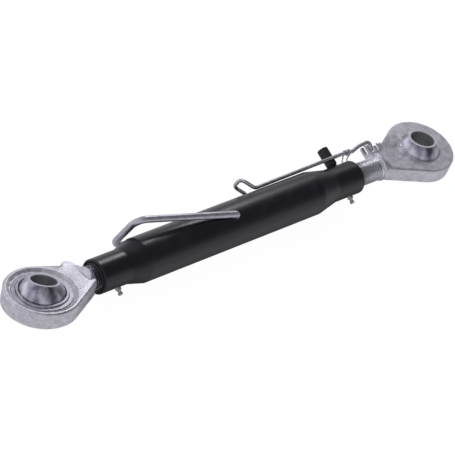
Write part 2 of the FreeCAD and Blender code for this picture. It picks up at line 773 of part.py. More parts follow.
def bail_handle(model):
    """Round rod bent to a U, its ends turned into the tube's wall."""
    side = model.size("tube_radius + bail_side_gap + bail_rod / 2")
    pin = model.size("tube_radius - bail_pin")
    reach = model.size("bail_length")
    corners = ((0, -pin), (0, -side), (reach, -side), (reach, side), (0, side), (0, pin))
    bends = [model.size(name) for name in ("bail_bend", "bail_corner", "bail_corner", "bail_bend")]
    points = [Vector(along, across, 0) for along, across in corners]
    handle = model.feature("bail_handle", swept_wire(points, bends, model.size("bail_rod")))
    lift = math.radians(model.size("bail_lift"))
    pivot = radial(model, "bail_turn", -1)
    outward = pivot.cross(X_AXIS)
    along = X_AXIS * -math.cos(lift) + outward * math.sin(lift)
    centre = Vector(model.size("left_reach + bail_place"), 0, 0)
    handle.Placement = Placement(centre, Rotation(along, pivot, Vector(0, 0, 0), "XYZ"))
    return handle


# ---------------------------------------------------------------- latch

def latch_point(model, along, side, height):
    """Point from distances along the tube, sideways and outward."""
    outward, sideways = latch_frame(model)
    return X_AXIS * along + sideways * side + outward * height


def wire_side(model):
    """Sideways place of the latch's long leg, beside the rubber sleeve."""
    return model.size("sleeve_radius + sleeve_gap + latch_wire / 2")


def leg_height(model, along):
    """Height of the long leg's centre line at a place along the tube."""
    pivot = model.size("left_reach + latch_place")
    radius = model.size("tube_radius + latch_wire / 2 + latch_gap")
    base = math.sqrt(radius ** 2 - wire_side(model) ** 2)
    return base + (along - pivot) * math.tan(math.radians(model.size("latch_rise")))


def latch_corners(model):
    """Corners of the latch's centre line, from its pivot end to its tip."""
    pivot = model.size("left_reach + latch_place")
    near = wire_side(model)
    far = near - model.size("grip_width")
    slope = math.radians(model.size("grip_angle"))
    reach = model.size("grip_length")
    base = leg_height(model, pivot)
    tip_x = right_centre(model).x - model.size(f"{catch_front()} - front_ear - tip_clearance")
    post_x = model.size("left_reach + tube_length - post_place")
    back = reach * math.cos(slope)
    rise = reach * math.sin(slope)
    arch = model.size("arch_height")
    clear = model.size("sleeve_radius + latch_wire")
    spread = tip_x - post_x
    pin_side = far - model.size("wire_bend + latch_gap + ear_thick + pin_proud")
    return (
        (pivot, pin_side, base),
        (pivot, far, base),
        (pivot - back, far, base + rise),
        (pivot - back, near, base + rise),
        (pivot, near, base),
        (post_x + clear, near, leg_height(model, post_x + clear)),
        (post_x + 0.53 * spread, near * 0.5, leg_height(model, post_x)),
        (post_x + 0.75 * spread, near * 0.2, arch - model.size("arch_drop")),
        (tip_x + model.size("tip_lean"), 0.0, arch),
        (tip_x, 0.0, model.size("tip_height")),
    )


def rounded_path(points, radii):
    """Wire through points with each corner rounded, as far as its legs allow."""
    edges = []
    start = points[0]
    for before, corner, after, radius in zip(points, points[1:], points[2:], radii):
        inward = (before - corner).normalize()
        onward = (after - corner).normalize()
        half = inward.getAngle(onward) / 2
        shorter = min((before - corner).Length, (after - corner).Length)
        cut = min(radius / math.tan(half), 0.48 * shorter)
        bend = cut * math.tan(half)
        first = corner + inward * cut
        last = corner + onward * cut
        centre = corner + (inward + onward).normalize() * (bend / math.sin(half))
        middle = centre + (corner - centre).normalize() * bend
        edges.append(Part.LineSegment(start, first).toShape())
        edges.append(Part.Arc(first, middle, last).toShape())
        start = last
    edges.append(Part.LineSegment(start, points[-1]).toShape())
    return Part.Wire(edges)


def swept_wire(points, bends, thickness):
    """Round wire of a thickness along a path with a bend radius for each corner."""
    path = rounded_path(points, bends)
    pieces = []
    for edge in path.Edges:
        start = edge.valueAt(edge.FirstParameter)
        direction = edge.tangentAt(edge.FirstParameter)
        disc = Part.Face(Part.Wire(Part.makeCircle(thickness / 2, start, direction)))
        pieces.append(swept_edge(disc, edge, direction))
    return pieces[0].fuse(pieces[1:])


def swept_edge(disc, edge, direction):
    """Straight or bent piece of round wire, from a disc at the edge's start."""
    if edge.Curve.TypeId == "Part::GeomLine":
        return disc.extrude(direction * edge.Length)
    circle = edge.Curve
    start = edge.valueAt(edge.FirstParameter)
    axis = (start - circle.Center).cross(direction)
    return disc.revolve(circle.Center, axis, math.degrees(edge.Length / circle.Radius))


def latch_bow(model):
    """Latch bent from round wire: pivot end, finger grip, long leg, arch and tip."""
    points = [latch_point(model, *corner) for corner in latch_corners(model)]
    bends = [model.size("wire_bend")] * (len(points) - 3) + [model.size("arch_bend")]
    return model.feature("latch_bow", swept_wire(points, bends, model.size("latch_wire")))


def latch_pivot_ear(model):
    """Small plate welded to the tube, with the hole in which the latch turns."""
    pivot = model.size("left_reach + latch_place")
    near = wire_side(model)
    far = near - model.size("grip_width")
    height = leg_height(model, pivot)
    side = far - model.size("wire_bend + ear_thick + latch_gap")
    thick = model.size("ear_thick")
    round_radius = model.size("ear_radius")
    outward, sideways = latch_frame(model)
    start = latch_point(model, pivot, side, height)
    top = Part.makeCylinder(round_radius, thick, start, sideways)
    foot = Part.makeBox(2 * round_radius, height, thick)
    foot.Placement = Placement(Vector(pivot - round_radius, 0, 0) + sideways * side,
                               Rotation(X_AXIS, outward, sideways, "XYZ"))
    hole = Part.makeCylinder(model.size("latch_wire / 2 + running_gap"), thick, start, sideways)
    tube = Part.makeCylinder(model.size("tube_radius + seat_gap"), model.size("tube_length"),
                             Vector(model.size("left_reach"), 0, 0), X_AXIS)
    return model.feature("latch_pivot_ear", top.fuse(foot).cut(hole).cut(tube).removeSplitter())


def guide_post(model):
    """Stepped post screwed into the swaged end beside the latch."""
    body = model.body("guide_post")
    top = "collar_height + sleeve_length - sleeve_cap - seat_gap"
    corners = [
        ("0", "-1 * post_depth"),
        ("post_radius", "-1 * post_depth"),
        ("post_radius", "0"),
        ("post_collar", "0"),
        ("post_collar", "collar_height"),
        ("post_radius", "collar_height"),
        ("post_radius", f"{top} - post_edge"),
        ("post_radius - post_edge", top),
        ("0", top),
    ]
    revolve(body, model, "post", corners, None, "V_Axis", plane="XZ_Plane")
    body.Placement = post_placement(model)
    return body


def post_placement(model):
    """Foot of the guide post on the swaged end's surface."""
    outward, _ = latch_frame(model)
    foot = Vector(model.size("left_reach + tube_length - post_place"), 0, 0)
    return Placement(foot + outward * model.size("neck_radius"), Rotation(Z_AXIS, outward))


def post_sleeve(model):
    """Rubber sleeve, closed at its top, pushed over the guide post."""
    body = model.body("post_sleeve")
    floor = "collar_height"
    top = "collar_height + sleeve_length"
    corners = [
        ("post_radius + seat_gap", floor),
        ("sleeve_radius", floor),
        ("sleeve_radius", f"{top} - post_edge"),
        ("sleeve_radius - post_edge", top),
        ("0", top),
        ("0", f"{top} - sleeve_cap"),
        ("post_radius + seat_gap", f"{top} - sleeve_cap"),
    ]
    revolve(body, model, "sleeve", corners, None, "V_Axis", plane="XZ_Plane")
    body.Placement = post_placement(model)
    return body


def wire_centre(model, along):
    """Sideways place and height of the latch's wire at a place along the tube."""
    corners = latch_corners(model)[4:]
    for (x_one, side_one, high_one), (x_two, side_two, high_two) in zip(corners, corners[1:]):
        if x_one <= along < x_two:
            share = (along - x_one) / (x_two - x_one)
            return side_one + (side_two - side_one) * share, high_one + (high_two - high_one) * share
    raise ValueError("the latch's wire doesn't reach that far")


def spring_feet(model):
    """Points where the spring's legs enter the tube's wall."""
    right = model.size("left_reach + tube_length - spring_place")
    left = right - model.size("spring_spread")
    side = model.size("spring_side")
    surface = math.sqrt(model.size("neck_radius") ** 2 - side ** 2)
    height = surface - model.size("spring_foot")
    return [latch_point(model, along, side, height) for along in (left, right)]


def latch_spring(model):
    """Thin wire spring: a leg, two and a half turns round the latch's wire and a leg."""
    turns = 2.5
    steps = 8
    radius = model.size("latch_wire / 2 + spring_wire / 2 + spring_gap")
    pitch = model.size("spring_pitch")
    outward, _ = latch_frame(model)
    left_foot, right_foot = spring_feet(model)
    first = (left_foot.x + right_foot.x) / 2 + model.size("spring_lean") - pitch
    rise = outward * model.size("spring_foot + spring_wire")
    points = [left_foot + outward * model.size("seat_gap"), left_foot + rise]
    for step in range(round(turns * steps) + 1):
        angle = math.pi + 2 * math.pi * step / steps
        along = first + pitch * step / steps
        side, height = wire_centre(model, along)
        points.append(latch_point(model, along, side + radius * math.cos(angle),
                                  height - radius * math.sin(angle)))
    points.append(right_foot + rise)
    points.append(right_foot + outward * model.size("seat_gap"))
    bends = [radius] * (len(points) - 2)
    return model.feature("latch_spring", swept_wire(points, bends, model.size("spring_wire")))


# ---------------------------------------------------------------- assembly

def swivel_ends(model):
    """Both eyes with their retaining rings and balls."""
    left_eye_rod(model)
    right_eye_rod(model)
    at_left = Placement()
    at_right = right_eye_placement(model)
    retaining_ring(model, "left_retaining_ring", at_left)
    retaining_ring(model, "right_retaining_ring", at_right)
    tilt = Rotation(tilt_axis(model, "left_ball_heading"), model.size("left_ball_tilt"))
    swivel_ball(model, "left_swivel_ball", Placement(Vector(0, 0, 0), tilt))
    level = Rotation(X_AXIS, model.size("right_eye_turn"))
    tilt = Rotation(tilt_axis(model, "right_ball_heading"), model.size("right_ball_tilt"))
    swivel_ball(model, "right_swivel_ball", Placement(right_centre(model), level.multiply(tilt)))


def check(model):
    """Stop if any object failed or any sub-part has no valid solid."""
    for item in model.doc.Objects:
        if "Invalid" in item.State or "Error" in item.State:
            raise ValueError(f"{item.Name} failed: {item.State}")
    for part in model.parts:
        shape = part.Shape
        if shape.isNull() or not shape.isValid() or not shape.Solids:
            raise ValueError(f"{part.Label} has no valid solid")
        print(f"{part.Label:22s} {len(shape.Solids)} solid  {shape.Volume / 1000:9.2f} cm3")


def main():
    """Build every sub-part, check the model and write the parts."""
    model = Model()
    barrel_tube(model)
    swivel_ends(model)
    wiper(model, "left_wiper", "left_reach", -1)
    wiper(model, "right_wiper", "left_reach + tube_length", 1)
    grease_nipples(model)
    bail_handle(model)
    latch_pivot_ear(model)
    latch_bow(model)
    guide_post(model)
    post_sleeve(model)
    latch_spring(model)
    model.doc.recompute()
    check(model)
    os.makedirs("parts", exist_ok=True)
    for part in model.parts:
        part.Shape.exportStep(f"parts/{part.Label}.step")


main()
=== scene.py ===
"""Dresses the top link: finishes, forgings, screw threads, studio and camera.

Everything is in metres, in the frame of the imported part: origin at the centre of
the left ball, +X along the tube towards the right eye.
"""
import json
import logging
import math
from dataclasses import dataclass
from enum import Enum
from typing import Optional, Sequence

import bmesh
import bpy
from mathutils import Matrix, Vector


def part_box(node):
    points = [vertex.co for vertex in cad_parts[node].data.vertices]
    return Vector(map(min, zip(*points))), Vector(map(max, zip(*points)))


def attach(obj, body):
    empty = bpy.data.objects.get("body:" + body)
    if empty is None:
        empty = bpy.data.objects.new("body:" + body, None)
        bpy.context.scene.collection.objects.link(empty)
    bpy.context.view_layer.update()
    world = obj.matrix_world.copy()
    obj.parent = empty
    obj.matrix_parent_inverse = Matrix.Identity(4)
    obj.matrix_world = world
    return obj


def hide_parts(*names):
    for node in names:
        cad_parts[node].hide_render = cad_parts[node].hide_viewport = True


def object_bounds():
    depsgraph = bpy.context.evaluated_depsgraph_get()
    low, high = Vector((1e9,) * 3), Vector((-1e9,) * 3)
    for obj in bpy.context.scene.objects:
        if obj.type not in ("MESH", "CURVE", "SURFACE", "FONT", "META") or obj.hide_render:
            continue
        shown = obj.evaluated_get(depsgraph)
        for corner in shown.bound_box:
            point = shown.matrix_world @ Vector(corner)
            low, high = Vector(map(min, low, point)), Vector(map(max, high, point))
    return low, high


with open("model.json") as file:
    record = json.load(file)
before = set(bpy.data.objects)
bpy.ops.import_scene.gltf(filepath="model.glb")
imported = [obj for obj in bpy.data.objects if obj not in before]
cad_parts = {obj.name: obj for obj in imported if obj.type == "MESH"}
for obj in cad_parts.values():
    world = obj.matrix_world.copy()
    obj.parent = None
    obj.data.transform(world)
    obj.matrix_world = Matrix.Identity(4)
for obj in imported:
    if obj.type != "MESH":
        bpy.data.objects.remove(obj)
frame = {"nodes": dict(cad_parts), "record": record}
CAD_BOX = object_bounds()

LOG = logging.getLogger("top_link")
Colour = tuple[float, float, float]
Spot = tuple[float, float, float]
Span = tuple[float, float]
Socket = bpy.types.NodeSocket
MILLIMETRE = 0.001
MERGE_DISTANCE = 1e-6
SMOOTH_BELOW = math.radians(38)
NOISE_SPREAD: Span = (0.3, 0.7)
WHITE = (1.0, 1.0, 1.0, 1.0)


class Side(Enum):
    """End of the link that a piece belongs to."""

    LEFT = "left"
    RIGHT = "right"

    @property
    def facing(self) -> int:
        """Direction along X from this end's ball into the tube."""
        return 1 if self is Side.LEFT else -1


# ---------------------------------------------------------------- node graphs

class Graph:
    """Short way to write a shader's nodes."""

    def __init__(self, tree: bpy.types.NodeTree) -> None:
        """Start an empty graph on the node tree of a material or of the world."""
        self.tree = tree
        tree.nodes.clear()

    def add(self, kind: str, inputs: Optional[dict] = None, **settings) -> bpy.types.Node:
        """Add a node.

        Args:
            kind: Node type without its "ShaderNode" prefix.
            inputs: Socket name or number to a value or to another node's output.
            settings: Properties of the node.

        Returns:
            The new node.
        """
        node = self.tree.nodes.new(f"ShaderNode{kind}")
        for name, value in settings.items():
            setattr(node, name, value)
        for name, value in (inputs or {}).items():
            if isinstance(value, Socket):
                self.tree.links.new(value, node.inputs[name])
            else:
                node.inputs[name].default_value = value
        return node

    def place(self, turn: Sequence[float] = (0, 0, 0), shift: Sequence[float] = (0, 0, 0),
              stretch: Sequence[float] = (1, 1, 1)) -> Socket:
        """Object coordinates in metres, turned, moved and stretched.

        Args:
            turn: Turn about X, Y and Z in radians.
            shift: Move in metres.
            stretch: Scale along X, Y and Z.

        Returns:
            The vector's output.
        """
        where = self.add("TexCoord").outputs["Object"]
        inputs = {"Vector": where, "Location": shift, "Rotation": turn, "Scale": stretch}
        return self.add("Mapping", inputs).outputs[0]

    def about(self, centre: Vector, axis: Vector, stretch: Sequence[float] = (1, 1, 1)) -> Socket:
        """Coordinates from a centre, with Z turned along an axis, then stretched."""
        turn = axis.rotation_difference(Vector((0, 0, 1)))
        return self.place(turn.to_euler(), -(turn @ centre), stretch)

    def noise(self, size: float, where: Socket, detail: float = 4.0, rough: float = 0.55) -> Socket:
        """Noise with features of about a size in metres, octaves, and how strong the finer ones are."""
        inputs = {"Vector": where, "Scale": 1.0 / size, "Detail": detail, "Roughness": rough}
        return self.add("TexNoise", inputs).outputs["Fac"]

    def span(self, value: Socket, low: float, high: float, start: float = 0.0,
             end: float = 1.0) -> Socket:
        """Map a value from low..high to start..end, held at both ends."""
        inputs = {"Value": value, "From Min": low, "From Max": high, "To Min": start, "To Max": end}
        return self.add("MapRange", inputs).outputs[0]

    def maths(self, operation: str, one: object, two: object = 0.0) -> Socket:
        """Combine one or two values, each a number or another node's output."""
        return self.add("Math", {0: one, 1: two}, operation=operation).outputs[0]

    def radius(self, across: dict[str, Socket]) -> Socket:
        """Distance from an axis, of the two coordinates square to it, given by their letters."""
        flat = self.add("CombineXYZ", across).outputs[0]
        return self.add("VectorMath", {0: flat}, operation="LENGTH").outputs["Value"]

    def blend(self, share: Socket, one: object, two: object) -> Socket:
        """Mix two colours by a share.

        Args:
            share: 0 for the first colour, 1 for the second.
            one: First colour, or another node's output.
            two: Second colour, or another node's output.

        Returns:
            The mixed colour.
        """
        node = self.add("Mix", data_type="RGBA")
        self.tree.links.new(share, node.inputs["Factor"])
        for socket, value in ((node.inputs[6], one), (node.inputs[7], two)):
            if isinstance(value, Socket):
                self.tree.links.new(value, socket)
            else:
                socket.default_value = (*value, 1.0)
        return node.outputs[2]

    def bump(self, height: Socket, depth: float, strength: float,
             under: Optional[Socket] = None) -> Socket:
        """Bump, on top of another one where given.

        Args:
            height: Height from 0 to 1.
            depth: Depth in metres.
            strength: Share of the bump that shows.
            under: Normal of the bump under this one.

        Returns:
            The bumped normal.
        """
        inputs = {"Height": height, "Distance": depth, "Strength": strength}
        if under is not None:
            inputs["Normal"] = under
        return self.add("Bump", inputs).outputs[0]

    def choose(self, share: object, one: Socket, two: Socket) -> Socket:
        """Mix two shaders, the first at a share of 0 and the second at 1."""
        return self.add("MixShader", {0: share, 1: one, 2: two}).outputs[0]

    def finish(self, shader: Socket, output: str = "OutputMaterial") -> None:
        """Lead a shader to the graph's output."""
        self.tree.links.new(shader, self.add(output).inputs["Surface"])

    def surface(self, **inputs) -> None:
        """Finish with the principled shader, whose inputs are named with _ for a space."""
        named = {name.replace("_", " "): value for name, value in inputs.items()}
        self.finish(self.add("BsdfPrincipled", named).outputs[0])


def new_material(name: str) -> tuple[bpy.types.Material, Graph]:
    """New material with an empty graph.

    Args:
        name: Name of the material.

    Returns:
        The material and its graph.
    """
    material = bpy.data.materials.new(name)
    material.use_nodes = True
    return material, Graph(material.node_tree)


def darker(colour: Colour, share: float) -> Colour:
    """The same colour with a share of its light."""
    return tuple(share * part for part in colour)


# ---------------------------------------------------------------- finishes

@dataclass(frozen=True)
class BlackPaint:
    """Satin black paint over a drawn and swaged steel tube."""

    colour: Colour = (0.0058, 0.0050, 0.0096)
    dusty: Colour = (0.0140, 0.0118, 0.0195)
    roughness: Span = (0.27, 0.41)
    dust_size: float = 22 * MILLIMETRE
    dust_span: Span = (0.48, 0.8)
    uneven_span: Span = (0.2, 1.5)
    grain_size: float = 0.5 * MILLIMETRE
    peel_size: float = 1.6 * MILLIMETRE
    peel_depth: float = 0.05 * MILLIMETRE
    peel_strength: float = 0.45
    draw_mark: float = 0.9 * MILLIMETRE
    draw_depth: float = 0.02 * MILLIMETRE
    draw_strength: float = 0.3
    draw_stretch: float = 0.03
    soft_edge: float = 4.0 * MILLIMETRE

    def make(self) -> bpy.types.Material:
        """Paint with orange peel and fine dust, which rounds the tube's edges off.

        Returns:
            The finished material.
        """
        material, graph = new_material("satin_tube_paint")
        where = graph.place()
        along = graph.place(stretch=(self.draw_stretch, 1, 1))
        dust = graph.span(graph.noise(self.dust_size, where, 7), *self.dust_span)
        uneven = graph.maths("ADD", dust, graph.noise(self.grain_size, where, 3))
        edges = graph.add("Bevel", {"Radius": self.soft_edge}, samples=4).outputs[0]
        peel = graph.noise(self.peel_size, where, 2)
        peeled = graph.bump(peel, self.peel_depth, self.peel_strength, edges)
        drawn = graph.noise(self.draw_mark, along, 2)
        graph.surface(
            Base_Color=graph.blend(dust, self.colour, self.dusty),
            Roughness=graph.span(uneven, *self.uneven_span, *self.roughness),
            Normal=graph.bump(drawn, self.draw_depth, self.draw_strength, peeled),
        )
        return material


@dataclass(frozen=True)
class ForgedZinc:
    """Zinc plating over a shot-blasted forging."""

    colour: Colour = (0.68, 0.68, 0.71)
    shade: Colour = (0.49, 0.49, 0.525)
    bright: Colour = (0.90, 0.90, 0.93)
    roughness: Span = (0.40, 0.54)
    cloud_size: float = 8 * MILLIMETRE
    cloud_span: Span = (0.38, 0.62)
    cloud_rough: float = 0.62
    dent_depth: float = 0.22 * MILLIMETRE
    dent_strength: float = 0.3
    grain_size: float = 1.5 * MILLIMETRE
    grain_rough: float = 0.7
    grain_depth: float = 0.2 * MILLIMETRE
    grain_strength: float = 0.7
    fleck_span: Span = (0.52, 0.68)
    pit_size: float = 2.6 * MILLIMETRE
    pit_span: Span = (0.60, 0.70)
    pit_rough: float = 0.65
    pit_depth: float = 0.08 * MILLIMETRE
    pit_strength: float = 0.5

    def make(self) -> bpy.types.Material:
        """Plating with a blasted grain, cloudy patches, scale pits and shallow dents.

        Returns:
            The finished material.
        """
        material, graph = new_material("plated_forging")
        where = graph.place()
        clouds = graph.noise(self.cloud_size, where, 7, self.cloud_rough)
        grain = graph.noise(self.grain_size, where, 4, self.grain_rough)
        scale = graph.noise(self.pit_size, where, 5, self.pit_rough)
        pits = graph.span(scale, *self.pit_span)
        mottle = graph.blend(graph.span(clouds, *self.cloud_span), self.shade, self.colour)
        flecks = graph.blend(graph.span(grain, *self.fleck_span), mottle, self.bright)
        dented = graph.bump(clouds, self.dent_depth, self.dent_strength)
        blasted = graph.bump(grain, self.grain_depth, self.grain_strength, dented)
        smooth = graph.maths("SUBTRACT", 1.0, pits)
        graph.surface(
            Base_Color=graph.blend(pits, flecks, self.shade),
            Metallic=1.0,
            Roughness=graph.span(clouds, *NOISE_SPREAD, *self.roughness),
            Normal=graph.bump(smooth, self.pit_depth, self.pit_strength, blasted),
        )
        return material


@dataclass(frozen=True)
class TurnedSteel:
    """Steel turned on a lathe, so that its lines run round an axis."""

    name: str
    centre: Vector
    axis: Vector
    colour: Colour = (0.42, 0.415, 0.455)
    shade: float = 0.66
    roughness: Span = (0.26, 0.40)
    smear_size: float = 6 * MILLIMETRE
    smear_span: Span = (0.36, 0.64)
    ring_scale: float = 62.5
    ring_wander: float = 0.4
    ring_depth: float = 0.03 * MILLIMETRE
    ring_strength: float = 0.35

    def make(self) -> bpy.types.Material:
        """Turned rings about 5 mm apart, light smears and a slightly uneven polish.

        Returns:
            The finished material.
        """
        material, graph = new_material(self.name)
        where = graph.about(self.centre, self.axis)
        wave = {"Vector": where, "Scale": self.ring_scale, "Distortion": self.ring_wander, "Detail": 2.0}
        rings = graph.add("TexWave", wave, wave_type="RINGS", rings_direction="Z").outputs["Fac"]
        smears = graph.noise(self.smear_size, where, 6)
        shade = darker(self.colour, self.shade)
        graph.surface(
            Base_Color=graph.blend(graph.span(smears, *self.smear_span), shade, self.colour),
            Metallic=1.0,
            Roughness=graph.span(smears, *NOISE_SPREAD, *self.roughness),
            Normal=graph.bump(rings, self.ring_depth, self.ring_strength),
        )
        return material


@dataclass(frozen=True)
class PolishedBall:
    """Hardened ball with light end faces, a dull bore and painted dark reflections streaked down its
    flanks.
    """

    name: str
    centre: Vector
    axis: Vector
    colour: Colour = (0.76, 0.755, 0.81)
    # Painted reflection: dark colour streaked down the flanks where the polish would mirror dark
    # surroundings.
    painted_dark_reflection: Colour = (0.19, 0.18, 0.23)
    bore: Colour = (0.34, 0.36, 0.35)
    end_colour: Colour = (0.56, 0.555, 0.60)
    roughness: Span = (0.22, 0.34)
    worn_roughness: float = 0.20
    bore_roughness: float = 0.22
    bore_radius: float = 16.4 * MILLIMETRE
    end_face: float = 22.0 * MILLIMETRE
    border: float = 0.3 * MILLIMETRE
    streak_size: float = 13 * MILLIMETRE
    streak_span: Span = (0.36, 0.64)
    streak_rough: float = 0.45
    streak_stretch: float = 0.22
    smear_size: float = 3 * MILLIMETRE
    scratch_size: float = 0.5 * MILLIMETRE
    scratch_depth: float = 0.012 * MILLIMETRE
    scratch_strength: float = 0.25

    def make(self) -> bpy.types.Material:
        """Polish that is broken by streaks of painted dark reflection along the bore, smears and fine
        scratches.

        Returns:
            The finished material.
        """
        material, graph = new_material(self.name)
        where = graph.about(self.centre, self.axis)
        tall = graph.about(self.centre, self.axis, (1, 1, self.streak_stretch))
        parts = graph.add("SeparateXYZ", {0: where}).outputs
        radius = graph.radius({"X": parts["X"], "Y": parts["Y"]})
        height = graph.maths("ABSOLUTE", parts["Z"])
        outside = graph.span(radius, self.bore_radius, self.bore_radius + self.border)
        face = graph.span(height, self.end_face, self.end_face + self.border)
        # Painted reflection: noise streaks darken the flanks in place of dark surroundings seen in the
        # polish; the same streaks are rougher.
        painted_reflection_noise = graph.noise(self.streak_size, tall, 3, self.streak_rough)
        streaks = graph.span(painted_reflection_noise, *self.streak_span)
        smears = graph.noise(self.smear_size, where, 5)
        scratches = graph.noise(self.scratch_size, tall, 3)
        flank = graph.blend(face, graph.blend(streaks, self.painted_dark_reflection, self.colour), self.end_colour)
        polish = graph.span(smears, *NOISE_SPREAD, *self.roughness)
        worn = graph.span(graph.maths("MAXIMUM", streaks, face), 0.0, 1.0, 0.0, self.worn_roughness)
        dull = graph.span(outside, 0.0, 1.0, self.bore_roughness, 0.0)
        graph.surface(
            Base_Color=graph.blend(outside, self.bore, flank),
            Metallic=1.0,
            Roughness=graph.maths("ADD", graph.maths("ADD", polish, worn), dull),
            Normal=graph.bump(scratches, self.scratch_depth, self.scratch_strength),
        )
        return material


@dataclass(frozen=True)
class PlatedWire:
    """Bright zinc on drawn wire or rod."""

    name: str
    colour: Colour
    rough: float
    rough_range: float = 0.10
    shade: float = 0.74
    spot_size: float = 7 * MILLIMETRE
    spot_span: Span = (0.32, 0.62)
    mark_size: float = 0.6 * MILLIMETRE
    mark_depth: float = 0.015 * MILLIMETRE
    mark_strength: float = 0.3
    mark_stretch: float = 0.08

    def make(self) -> bpy.types.Material:
        """Plating with drawing marks and dull spots.

        Returns:
            The finished material.
        """
        material, graph = new_material(self.name)
        spots = graph.noise(self.spot_size, graph.place(), 5)
        marks = graph.noise(self.mark_size, graph.place(stretch=(self.mark_stretch, 1, 1)), 2)
        shade = darker(self.colour, self.shade)
        graph.surface(
            Base_Color=graph.blend(graph.span(spots, *self.spot_span), shade, self.colour),
            Metallic=1.0,
            Roughness=graph.span(spots, *NOISE_SPREAD, self.rough, self.rough + self.rough_range),
            Normal=graph.bump(marks, self.mark_depth, self.mark_strength),
        )
        return material


@dataclass(frozen=True)
class GreasedThread:
    """Thread with painted shade in its roots, and grease that thickens towards a mouth of the tube."""

    name: str
    mouth: float
    facing: int
    colour: Colour
    grease: Colour
    crest: float
    depth: float
    # Painted shade: the thread's colour is darkened towards its roots by these shares.
    root_light: float = 0.09
    painted_root_shade: float = 0.22
    roughness: Span = (0.26, 0.40)
    greased_metallic: float = 0.4
    reach: float = 16 * MILLIMETRE
    patch_size: float = 4 * MILLIMETRE
    patch_span: Span = (0.34, 0.6)
    skin_size: float = 0.6 * MILLIMETRE
    skin_depth: float = 0.05 * MILLIMETRE
    skin_strength: float = 0.4

    def make(self) -> bpy.types.Material:
        """Crests of the thread's colour, painted shade in the roots and patches of grease.

        Returns:
            The finished material.
        """
        material, graph = new_material(self.name)
        where = graph.place()
        parts = graph.add("SeparateXYZ", {0: where}).outputs
        radius = graph.radius({"Y": parts["Y"], "Z": parts["Z"]})
        # Painted shade: the colour darkens with depth into the thread, from crest to root.
        painted_root_shade_mask = graph.span(radius, self.crest - self.depth, self.crest, self.root_light, 1.0)
        patches = graph.span(graph.noise(self.patch_size, where, 5), *self.patch_span)
        clean_from = self.mouth + self.facing * self.reach
        near = graph.span(parts["X"], self.mouth, clean_from, 1.0, 0.0)
        greased = graph.maths("MULTIPLY", near, patches)
        metal = graph.blend(painted_root_shade_mask, darker(self.colour, self.painted_root_shade), self.colour)
        skin = graph.noise(self.skin_size, where, 3)
        graph.surface(
            Base_Color=graph.blend(greased, metal, self.grease),
            Metallic=graph.span(greased, 0.0, 1.0, 1.0, self.greased_metallic),
            Roughness=graph.span(patches, 0.0, 1.0, *self.roughness),
            Normal=graph.bump(skin, self.skin_depth, self.skin_strength),
        )
        return material


@dataclass(frozen=True)
class BlackRubber:
    """Moulded black rubber."""

    colour: Colour = (0.010, 0.0095, 0.011)
    bloom: Colour = (0.022, 0.021, 0.024)
    roughness: Span = (0.52, 0.72)
    bloom_size: float = 5 * MILLIMETRE
    bloom_span: Span = (0.48, 0.75)
    skin_size: float = 0.35 * MILLIMETRE
    skin_depth: float = 0.05 * MILLIMETRE
    skin_strength: float = 0.5

    def make(self) -> bpy.types.Material:
        """Matte rubber with a fine skin and a little bloom.

        Returns:
            The finished material.
        """
        material, graph = new_material("moulded_rubber")
        where = graph.place()
        bloom = graph.span(graph.noise(self.bloom_size, where, 6), *self.bloom_span)
        skin = graph.noise(self.skin_size, where, 3)
        graph.surface(
            Base_Color=graph.blend(bloom, self.colour, self.bloom),
            Roughness=graph.span(bloom, 0.0, 1.0, *self.roughness),
            Normal=graph.bump(skin, self.skin_depth, self.skin_strength),
        )
        return material


# ---------------------------------------------------------------- mesh helpers

def new_piece(name: str, build: bmesh.types.BMesh, finish: bpy.types.Material,
              body: str) -> bpy.types.Object:
    """Turn a mesh into a smooth piece that rides on a body.

    Args:
        name: Name of the piece.
        build: Its mesh, which is freed.
        finish: Its material.
        body: Body that it rides on.

    Returns:
        The piece.
    """
    bmesh.ops.recalc_face_normals(build, faces=build.faces)
    mesh = bpy.data.meshes.new(name)
    build.to_mesh(mesh)
    build.free()
    mesh.materials.append(finish)
    mesh.shade_smooth()
    mesh.set_sharp_from_angle(angle=SMOOTH_BELOW)
    piece = bpy.data.objects.new(name, mesh)
    bpy.context.scene.collection.objects.link(piece)
    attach(piece, body)
    LOG.info("%s: %d faces on %s", name, len(mesh.polygons), body)
    return piece


def dress(node: str, finish: bpy.types.Material) -> None:
    """Give a carried-over node its finish.

    Args:
        node: Name of the node.
        finish: Its material.
    """
    piece = frame["nodes"][node]
    piece.data.materials.clear()
    piece.data.materials.append(finish)
    LOG.info("%s: dressed in %s", node, finish.name)


# ---------------------------------------------------------------- eye rods

